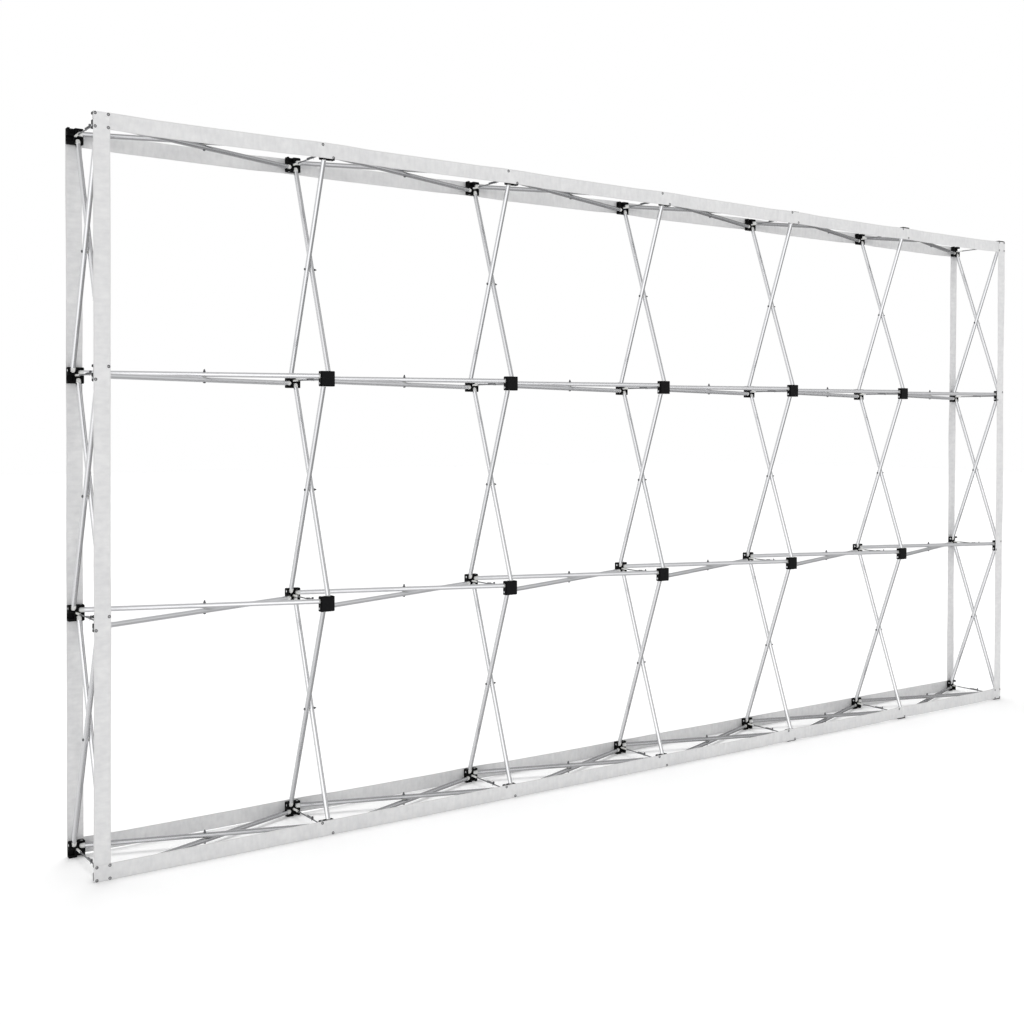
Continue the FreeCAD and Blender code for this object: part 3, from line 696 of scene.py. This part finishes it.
shaft_length = shoulder_y - web_front
shaft_line = Matrix.Translation((0, web_front, 0)) @ inward
arm = turned("arm", [(arm_radius, 0), (arm_radius, shaft_length)], arm_sides, shaft_line)
eye_line = Matrix.Translation((-eye_half, pivot_y, 0)) @ across
eye = turned("eye", [(eye_radius, 0), (eye_radius, 2 * eye_half)], eye_sides, eye_line)
combine(arm, eye, "UNION")
tongue_low = (-eye_half, shoulder_y - arm_radius, -arm_radius)
combine(arm, block("tongue", tongue_low, (eye_half, pivot_y, arm_radius)), "UNION")
web_low = (-arm_radius, web_front, -arm_radius)
combine(arm, block("web", web_low, (arm_radius, web_back, paddle_top)), "UNION")
paddle_low = (-paddle_half, paddle_nose, paddle_bottom)
paddle = block("paddle", paddle_low, (paddle_half, web_back, paddle_top))
bevel_edges(
    paddle,
    lambda a, b: abs(a.z - b.z) > mm and max(a.y, b.y) > 0,
    paddle_round,
    paddle_steps,
)
combine(arm, paddle, "UNION")
tab_back = paddle_nose + tab_thick
tab = block("tab", (-paddle_half, paddle_nose, -leg_drop), (paddle_half, tab_back, tab_top))
bevel_edges(
    tab,
    lambda a, b: min(a.z, b.z) > paddle_top and abs(a.y - b.y) > mm,
    tab_round,
    corner_steps,
)
combine(arm, tab, "UNION")
saddle_low = (-saddle_half, paddle_nose - mm, -2 * leg_drop)
saddle = block("saddle", saddle_low, (saddle_half, tab_back + mm, paddle_bottom))
combine(arm, saddle, "DIFFERENCE")
window_low = (-window_half, -window_reach, 0)
combine(arm, block("window", window_low, (window_half, window_reach, tab_top)), "DIFFERENCE")
soften(arm, arm_edge)
for (column, row), centre in zip(sites, centres):
    spot_name = f"col{column + 1}_row{row + 1}"
    node = f"lock_arm_{spot_name}"
    swing = copies(arm, f"swing_arm_{spot_name}", [centre], column + columns * row)
    dress(swing, lock_steel, "lock_steel", node, node)
discard(arm)

# Grip pads: squares of hook tape on the faces of the inner front hubs, to which a banner is pressed.
# Woven black nylon with a dense field of tiny cut hooks, die-cut and glued down.
pad_low, pad_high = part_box("grip_pads")
pad_thick = pad_high.y - pad_low.y
pad_size = pad_high.z - pad_low.z - bay * (rows - 3)
pad_cuts = 44
hook_rise = 0.7 * mm
hook_spread = 1.7 * mm
rim_share = 0.49
backing_thick = 0.8 * mm


def hook_tape():
    """Black hook tape: soot-black, dull, with rows of tiny hooks that catch a little light."""
    made, tree, shader = new_material("black_hook_tape", Specular_IOR_Level=0.1, Sheen_Weight=0.04)
    hook_pitch = 1.6 * mm
    fuzz_size = 6 * mm
    place = add_node(tree, "ShaderNodeTexCoord").outputs["Object"]
    field = {"Vector": place, "Scale": 1 / hook_pitch}
    hooks = add_node(tree, "ShaderNodeTexVoronoi", field).outputs["Distance"]
    broad = {"Vector": place, "Scale": 1 / fuzz_size, "Detail": 4}
    fuzz = add_node(tree, "ShaderNodeTexNoise", broad).outputs["Fac"]
    mixed = add_node(tree, "ShaderNodeMath", {0: hooks, 1: fuzz}, operation="MULTIPLY").outputs[0]
    tones = {"Factor": mixed, "A": linear("#101011"), "B": linear("#242426")}
    add_node(tree, "ShaderNodeMix", tones, {"Result": shader.inputs["Base Color"]}, data_type="RGBA")
    gloss = {"Value": fuzz, "To Min": 0.75, "To Max": 0.95}
    add_node(tree, "ShaderNodeMapRange", gloss, {"Result": shader.inputs["Roughness"]})
    relief = {"Height": hooks, "Strength": 0.6, "Distance": 0.5 * mm}
    add_node(tree, "ShaderNodeBump", relief, {"Normal": shader.inputs["Normal"]})
    return made


black_hooks = hook_tape()
for column, row in inner_sites:
    bpy.ops.object.select_all(action="DESELECT")
    bpy.ops.mesh.primitive_grid_add(x_subdivisions=pad_cuts, y_subdivisions=pad_cuts, size=1)
    pad = bpy.context.object
    pad.name = f"hook_pad_col{column + 1}_row{row + 1}"
    for point in pad.data.vertices:
        wide, tall = point.co.x * pad_size, point.co.y * pad_size
        spot = Vector((column_x[column] + wide, 0, row_z[row] + tall))
        rough = hook_rise * noise.noise(spot / hook_spread)
        at_rim = max(abs(point.co.x), abs(point.co.y)) > rim_share
        lift = pad_thick / 2 if at_rim else pad_thick - hook_rise / 2 + rough / 2
        point.co = (spot.x, front_y - lift, spot.z)
    select_faces(pad, lambda face: True)
    bpy.ops.mesh.normals_make_consistent(inside=False)
    bpy.ops.object.mode_set(mode="OBJECT")
    if pad.data.polygons[0].normal.y > 0:
        pad.data.flip_normals()
    apply_change(pad, "SOLIDIFY", thickness=backing_thick, offset=-1)
    smooth(pad)
    dress(pad, black_hooks, "hook_tape", "frame", "grip_pads")

# Loop strips: eight flat tapes along the edges of both faces, to which the banner's edge is pressed.
# Woven white polyester with a brushed loop face, riveted to the hubs and lapped at the corners.
strip_width = 50 * mm
strip_thick = 1.2 * mm
lap_gap = 1 * mm
lap_slope = 15 * mm
strip_steps_across = 8
strip_step = 11 * mm
held_reach = 30 * mm
free_reach = 170 * mm
twist_most = math.radians(9)
twist_length = 450 * mm
billow_most = 3 * mm
billow_length = 600 * mm
ripple_most = 0.7 * mm
ripple_reach = 70 * mm
ripple_length = 45 * mm
ripple_width = 30 * mm
wander_most = 1.2 * mm
wander_length = 500 * mm
seed_strides = (7.3, 1.7)
sag_most = 2.5 * mm
no_floor = -1
top_seats = [0, -4 * mm, -4 * mm, -2.5 * mm, 1.5 * mm, 5 * mm, 5 * mm]
bottom_seats = [0, 0, 0, 0, -3 * mm, -5 * mm, -5 * mm]
end_slip = 3 * mm
end_trim = 5 * mm
back_facing = 0.5


def ease(value):
    value = min(max(value, 0), 1)
    return value * value * (3 - 2 * value)


def slackness(along, hub_lines):
    """How free a strip is at a place along it: 0 over a hub, 1 well away from one."""
    near = min(abs(along - line) for line in hub_lines)
    return ease((near - held_reach) / (free_reach - held_reach))


def seat_drop(along, seats):
    """How far a level strip, riveted on a little askew, sits below the line of its hubs."""
    bays_along = min(max((along - column_x[0]) / bay, 0), columns - 1)
    first = min(int(bays_along), columns - 2)
    return seats[first] + (seats[first + 1] - seats[first]) * ease(bays_along - first)


def wander(place, size, seed):
    """A slow, smooth change along a strip, different for each seed."""
    return noise.noise(Vector((place / size, *(seed * stride for stride in seed_strides))))


def loop_tape():
    """White woven loop tape: off-white, brushed and matt, with a plain selvedge along both edges."""
    made, tree, shader = new_material("white_loop_tape", Sheen_Weight=0.15, Sheen_Roughness=0.6)
    thread = 1.8 * mm  # drawn about twice as coarse as the real weave, so that it shows
    selvedge = 3 * mm
    nap_size = 22 * mm
    soil_size = 160 * mm
    streak_reach = 45 * mm
    streak_pitch = 14 * mm
    darkest_sum = 1.15
    lightest_sum = 1.85
    half_width = strip_width / 2
    lie = add_node(tree, "ShaderNodeUVMap", uv_map="UVMap").outputs["UV"]
    side = add_node(tree, "ShaderNodeSeparateXYZ", {"Vector": lie}).outputs["X"]
    weave = {"Vector": lie, "Scale": 1 / thread}
    loops = add_node(tree, "ShaderNodeTexVoronoi", weave).outputs["Distance"]
    fluffy = {"Vector": lie, "Scale": 1 / nap_size, "Detail": 5}
    nap = add_node(tree, "ShaderNodeTexNoise", fluffy).outputs["Fac"]
    handled = {"Vector": lie, "Scale": 1 / soil_size, "Detail": 3}
    soil = add_node(tree, "ShaderNodeTexNoise", handled).outputs["Fac"]
    centred = {0: side, 1: half_width}
    middle = add_node(tree, "ShaderNodeMath", centred, operation="SUBTRACT").outputs[0]
    off = add_node(tree, "ShaderNodeMath", {0: middle}, operation="ABSOLUTE").outputs[0]
    outside = {0: off, 1: half_width - selvedge}
    rim = add_node(tree, "ShaderNodeMath", outside, operation="GREATER_THAN").outputs[0]
    strokes = {"Vector": lie, "Scale": (1 / streak_reach, 1 / streak_pitch, 1)}
    stroked = add_node(tree, "ShaderNodeMapping", strokes).outputs["Vector"]
    streaky = {"Vector": stroked, "Scale": 1, "Detail": 3}
    streaks = add_node(tree, "ShaderNodeTexNoise", streaky).outputs["Fac"]
    marked = add_node(tree, "ShaderNodeMath", {0: nap, 1: streaks}, operation="ADD").outputs[0]
    soiled = add_node(tree, "ShaderNodeMath", {0: marked, 1: soil}, operation="ADD").outputs[0]
    spread = {"Value": soiled, "From Min": darkest_sum, "From Max": lightest_sum}
    tone = add_node(tree, "ShaderNodeMapRange", spread).outputs["Result"]
    loop_side = {"Factor": tone, "A": linear("#e0e0e1"), "B": linear("#eeeeee")}
    brushed = add_node(tree, "ShaderNodeMix", loop_side, data_type="RGBA").outputs["Result"]
    # The plain woven underside, on the inner faces of the back strips, is a touch darker at its
    # darkest as painted shade.
    plain_side_and_shade = {"Factor": tone, "A": linear("#dededf"), "B": linear("#eeeeee")}
    woven = add_node(tree, "ShaderNodeMix", plain_side_and_shade, data_type="RGBA").outputs["Result"]
    under = add_node(tree, "ShaderNodeAttribute", attribute_name="underside").outputs["Fac"]
    both_sides = {"Factor": under, "A": brushed, "B": woven}
    body = add_node(tree, "ShaderNodeMix", both_sides, data_type="RGBA").outputs["Result"]
    tones = {"Factor": rim, "A": body, "B": linear("#e1e1e1")}
    add_node(tree, "ShaderNodeMix", tones, {"Result": shader.inputs["Base Color"]}, data_type="RGBA")
    gloss = {"Value": nap, "To Min": 0.78, "To Max": 0.95}
    add_node(tree, "ShaderNodeMapRange", gloss, {"Result": shader.inputs["Roughness"]})
    raised = add_node(tree, "ShaderNodeMath", {0: loops, 1: nap}, operation="MULTIPLY").outputs[0]
    relief = {"Height": raised, "Strength": 0.5, "Distance": 0.6 * mm}
    add_node(tree, "ShaderNodeBump", relief, {"Normal": shader.inputs["Normal"]})
    return made


def loop_strip(name, length, hub_lines, lap_lines, seed, sag, drop, floor_limit):
    """A strip along Y, facing -Z, with its middle at the origin and its back on Z = 0."""
    steps = round(length / strip_step)
    bpy.ops.object.select_all(action="DESELECT")
    bpy.ops.mesh.primitive_grid_add(
        x_subdivisions=strip_steps_across, y_subdivisions=steps, size=1
    )
    strip = bpy.context.object
    strip.name = name
    for corner in strip.data.uv_layers.active.data:
        corner.uv = (corner.uv.x * strip_width, corner.uv.y * length)
    for point in strip.data.vertices:
        side, along = point.co.x * strip_width, point.co.y * length
        free = slackness(along, hub_lines)
        climbs = [ease((abs(along) - foot) / lap_slope) for foot in lap_lines(along)]
        lift = sum(strip_thick * climb for climb in climbs)
        twist = free * twist_most * wander(along, twist_length, seed)
        billow = free * billow_most * wander(along, billow_length, seed + 1)
        near = min(abs(along - line) for line in hub_lines)
        loose = ease((near - held_reach) / ripple_reach)
        crease = Vector((along / ripple_length, side / ripple_width, seed))
        ripple = loose * ripple_most * noise.noise(crease)
        stray = wander_most * wander(along, wander_length, seed + 2)
        shift = free * stray - free * sag - drop(along)
        out = strip_thick / 2 + lift + billow + ripple + side * math.sin(twist)
        point.co = (side * math.cos(twist) + max(shift, floor_limit), along, -out)
    apply_change(strip, "SOLIDIFY", thickness=strip_thick, offset=0)
    smooth(strip)
    under = strip.data.attributes.new("underside", "FLOAT", "FACE")
    backs = [float(face.normal.z > back_facing) for face in strip.data.polygons]
    under.data.foreach_set("value", backs)
    return strip


level_length = column_x[-1] - column_x[0] + strip_width
upright_length = row_z[-1] - row_z[0] + strip_width
upright_middle = (row_z[0] + row_z[-1]) / 2
level_lap = column_x[-1] - strip_width / 2 - lap_gap - lap_slope
upright_lap = (row_z[-1] - row_z[0]) / 2 - strip_width / 2 - lap_gap - lap_slope
level_hubs = column_x
upright_hubs = [z - upright_middle for z in row_z]
level_stand = Matrix(((0, 1, 0, 0), (0, 0, 1, 0), (1, 0, 0, 0), (0, 0, 0, 1)))
upright_stand = Matrix(((-1, 0, 0, 0), (0, 0, 1, 0), (0, 1, 0, 0), (0, 0, 0, 1)))


def no_lap(along):
    return []


def both_laps(along):
    return [level_lap]


def upper_lap(along):
    return [upright_lap] if along > 0 else []


def straight(along):
    return 0


def foot_lean(along):
    return -end_slip * ease((upright_hubs[1] - along) / bay)


def top_drop(along):
    return seat_drop(along, top_seats)


def bottom_drop(along):
    return seat_drop(along, bottom_seats)


white_loops = loop_tape()
level = (level_length, level_hubs, level_stand)
upright = (upright_length, upright_hubs, upright_stand)
trimmed = (upright_length - 2 * end_trim, upright_hubs, upright_stand)
top = (0, row_z[-1])
bottom = (-end_slip, row_z[0])
for face, turn, left_x, right_x, first_seed in (
    ("front", Matrix(), column_x[0], column_x[-1], 1),
    ("back", about_face, -column_x[-1], -column_x[0], 11),
):
    left = (left_x, upright_middle)
    right = (right_x, upright_middle)
    strips = [
        ("top", level, top, no_lap, sag_most, top_drop, no_floor),
        ("bottom", level, bottom, both_laps, sag_most, bottom_drop, 0),
        ("left", upright, left, upper_lap, 0, foot_lean, no_floor),
        ("right", trimmed, right, upper_lap, 0, straight, no_floor),
    ]
    for seed, (edge, cut, (x, z), laps, *hang) in enumerate(strips, first_seed):
        length, hub_lines, stand = cut
        name = f"{face}_{edge}_loop_tape"
        strip = loop_strip(name, length, hub_lines, laps, seed, *hang)
        strip.data.transform(turn @ Matrix.Translation((x, front_y, z)) @ stand)
        dress(strip, white_loops, "loop_tape", "frame", f"{face}_{edge}_strip")

# Strip rivets: 88 eyelets through the strips into the hubs, four on a corner, two elsewhere.
# Rolled from nickel-plated brass, with a dark rounded rim round a slightly sunk middle, which is
# # painted near white as a painted highlight.
eyelet_radius = 1.6 * mm
eyelet_length = 5 * mm
eyelet_rim = 4.8 * mm
eyelet_hole = 2.5 * mm
eyelet_rise = 0.8 * mm
eyelet_foot = 0.4 * eyelet_rise
eyelet_lip = 0.3 * eyelet_rise
eyelet_crown = 0.8 * eyelet_rim
eyelet_crown_inner = 0.58 * eyelet_rim
eyelet_sink = 0.5 * mm
eyelet_follow = 0.6
eyelet_sides = 12
middle_share = 1.05


def rolled_nickel():
    """Nickel plate on rolled brass: a dark grey rim, and a middle painted near white as a highlight.
    """
    made, tree, shader = new_material("nickel_plated_eyelet", Metallic=1.0)
    cloud_size = 4 * mm
    place = add_node(tree, "ShaderNodeTexCoord").outputs["Object"]
    broad = {"Vector": place, "Scale": 1 / cloud_size, "Detail": 3}
    cloud = add_node(tree, "ShaderNodeTexNoise", broad).outputs["Fac"]
    # The rim is a plain dark grey, cloudy at random.
    dulled = {"Factor": cloud, "A": linear("#6a6a6c"), "B": linear("#929294")}
    rim = add_node(tree, "ShaderNodeMix", dulled, data_type="RGBA").outputs["Result"]
    # Faces in the middle are painted near white: a painted highlight, not the metal's own colour.
    bright = add_node(tree, "ShaderNodeAttribute", attribute_name="middle").outputs["Fac"]
    tones = {"Factor": bright, "A": rim, "B": linear("#f0f0f0")}
    add_node(tree, "ShaderNodeMix", tones, {"Result": shader.inputs["Base Color"]}, data_type="RGBA")
    gloss = {"Value": cloud, "To Min": 0.25, "To Max": 0.4}
    add_node(tree, "ShaderNodeMapRange", gloss, {"Result": shader.inputs["Roughness"]})
    relief = {"Height": cloud, "Strength": 0.08, "Distance": 0.05 * mm}
    add_node(tree, "ShaderNodeBump", relief, {"Normal": shader.inputs["Normal"]})
    return made


def eyelet_spots(column, row):
    """Where the eyelets of one edge hub sit: four at a corner, else two on a diagonal."""
    at_side = column in (0, columns - 1)
    at_end = row in (0, rows - 1)
    if at_side and at_end:
        signs = [(1, 1), (1, -1), (-1, -1), (-1, 1)]
    elif at_side:
        signs = [(1, 1), (-1, -1)]
    else:
        signs = [(-1, 1), (1, -1)]
    seat = front_y - strip_thick * (2 if at_side and at_end else 1)
    seats = {0: bottom_seats, rows - 1: top_seats}.get(row)
    height = row_z[row] - eyelet_follow * (seats[column] if seats else 0)
    x = column_x[column]
    return [
        Matrix.Translation((x + a * eyelet_offset, seat, height + b * eyelet_offset))
        for a, b in signs
    ]


eyelet = turned(
    "eyelet",
    [
        (eyelet_radius, eyelet_length),
        (eyelet_radius, 0),
        (eyelet_rim, 0),
        (eyelet_rim, -eyelet_foot),
        (eyelet_crown, -eyelet_rise),
        (eyelet_crown_inner, -eyelet_rise),
        (eyelet_hole, -eyelet_lip),
        (eyelet_hole, eyelet_sink),
    ],
    eyelet_sides,
    inward,
)
smooth(eyelet)
# Marks the middle faces that take the painted highlight.
middle = eyelet.data.attributes.new("middle", "FLOAT", "FACE")
radii = [math.hypot(point.co.x, point.co.z) for point in eyelet.data.vertices]
reaches = [max(radii[corner] for corner in face.vertices) for face in eyelet.data.polygons]
middle.data.foreach_set("value", [float(reach < middle_share * eyelet_hole) for reach in reaches])
front_eyelets = [spot for site in edge_sites for spot in eyelet_spots(*site)]
eyelets = front_eyelets + [about_face @ spot for spot in front_eyelets]
eyelet_set = copies(eyelet, "strip_eyelets", eyelets, 40)
dress(eyelet_set, rolled_nickel(), "eyelet_metal", "frame", "strip_rivets")
discard(eyelet)

# Floor: a plain white studio floor, wide enough to run out of the picture, that takes the soft
# shadow. Mirrored in metal, the room shows in its place.
floor_size = 60
floor_glow = 0.09
bpy.ops.object.select_all(action="DESELECT")
bpy.ops.mesh.primitive_plane_add(size=floor_size)
floor = bpy.context.object
floor.name = "studio_floor"
floor_paint, floor_tree, floor_shader = new_material("white_floor", Roughness=0.9)
floor_shader.inputs["Base Color"].default_value = linear("#ffffff")
floor_shader.inputs["Emission Color"].default_value = linear("#ffffff")
floor_rays = add_node(floor_tree, "ShaderNodeLightPath")
glow = {"Value": floor_rays.outputs["Is Camera Ray"], "To Min": 0, "To Max": floor_glow}
add_node(floor_tree, "ShaderNodeMapRange", glow, {"Result": floor_shader.inputs["Emission Strength"]})
unseen = add_node(floor_tree, "ShaderNodeBsdfTransparent").outputs["BSDF"]
mirrored = {0: floor_rays.outputs["Is Glossy Ray"], 1: floor_shader.outputs["BSDF"], 2: unseen}
floor_surface = floor_tree.nodes["Material Output"].inputs["Surface"]
add_node(floor_tree, "ShaderNodeMixShader", mirrored, {"Shader": floor_surface})
floor.data.materials.append(floor_paint)

# Light: a white room under a wide, soft overhead lamp. In metal it mirrors brightest in front on the
# left, where a soft box stands, greyer on the right, with one pale patch, and darkest behind there,
# so that a tube shows a bright middle between darker sides. A zone is its aim, edge and light.
upward = (0, 0, 1)
downward = (0, 0, -1)
horizon_light = 1.1
zenith_light = 0.26
zenith_edge = (0.35, 0.75)
left_grey = 0.92
right_zone = ((0.81, -0.58, 0), (-0.3, 0.3), 0.4)
behind_zone = ((0.93, 0.37, 0), (0.8, 0.92), 0.26)
pale_zone = ((0.86, -0.45, 0.23), (0.84, 0.93), 0.8)
soft_box_zone = ((-0.58, -0.81, 0), (0.5, 0.95), 1.65)
ceiling_zone = (upward, (0.45, 0.9), 0.6)
ground_zone = (downward, (0.45, 0.9), 0.6)
lamp_turn = (math.radians(-18), 0, math.radians(-20))
lamp_energy = 1.62
lamp_angle = math.radians(50)
world = bpy.data.worlds.new("white_room")
bpy.context.scene.world = world
world.use_nodes = True
room = world.node_tree
way = add_node(room, "ShaderNodeTexCoord").outputs["Generated"]


def light_zone(aim, edge, outside, inside):
    """Light that turns, with a soft edge, from one strength to another along an aim."""
    along = add_node(room, "ShaderNodeVectorMath", {0: way, 1: aim}, operation="DOT_PRODUCT")
    reach = {
        "Value": along.outputs["Value"],
        "From Min": edge[0],
        "From Max": edge[1],
        "To Min": outside,
        "To Max": inside,
    }
    blended = add_node(room, "ShaderNodeMapRange", reach, interpolation_type="SMOOTHSTEP")
    return blended.outputs["Result"]


mirrored_room = left_grey
for aim, edge, light in (
    right_zone,
    behind_zone,
    pale_zone,
    soft_box_zone,
    ceiling_zone,
    ground_zone,
):
    mirrored_room = light_zone(aim, edge, mirrored_room, light)
soft_light = light_zone(upward, zenith_edge, horizon_light, zenith_light)
rays = add_node(room, "ShaderNodeLightPath")
by_ray = {"Value": rays.outputs["Is Glossy Ray"], "To Min": soft_light, "To Max": mirrored_room}
lit = add_node(room, "ShaderNodeMapRange", by_ray).outputs["Result"]
through = {0: rays.outputs["Is Camera Ray"], 1: rays.outputs["Is Transmission Ray"]}
shown = add_node(room, "ShaderNodeMath", through, operation="MAXIMUM").outputs[0]
backdrop = room.nodes["Background"]
backdrop.inputs["Color"].default_value = (1, 1, 1, 1)
plain_white = {"Value": shown, "To Min": lit, "To Max": 1.0}
add_node(room, "ShaderNodeMapRange", plain_white, {"Result": backdrop.inputs["Strength"]})

bpy.ops.object.light_add(type="SUN", rotation=lamp_turn)
lamp = bpy.context.object
lamp.name = "overhead_lamp"
lamp.visible_glossy = False
lamp.data.energy = lamp_energy
lamp.data.angle = lamp_angle

# Camera: at a standing height, to the left in front of the wall, looking along it and a little down,
# with a small downward shift.
camera_sensor = 36
camera_lens = 45.04
camera_shift = -0.0641
camera_place = (-3.3872, -3.8750, 1.3449)
camera_turn = (math.radians(89.013), math.radians(-0.187), math.radians(-35.362))
bpy.ops.object.camera_add(location=camera_place, rotation=camera_turn)
camera = bpy.context.object
camera.data.sensor_width = camera_sensor
camera.data.lens = camera_lens
camera.data.shift_y = camera_shift
bpy.context.scene.camera = camera
bpy.context.scene.view_settings.view_transform = "Standard"
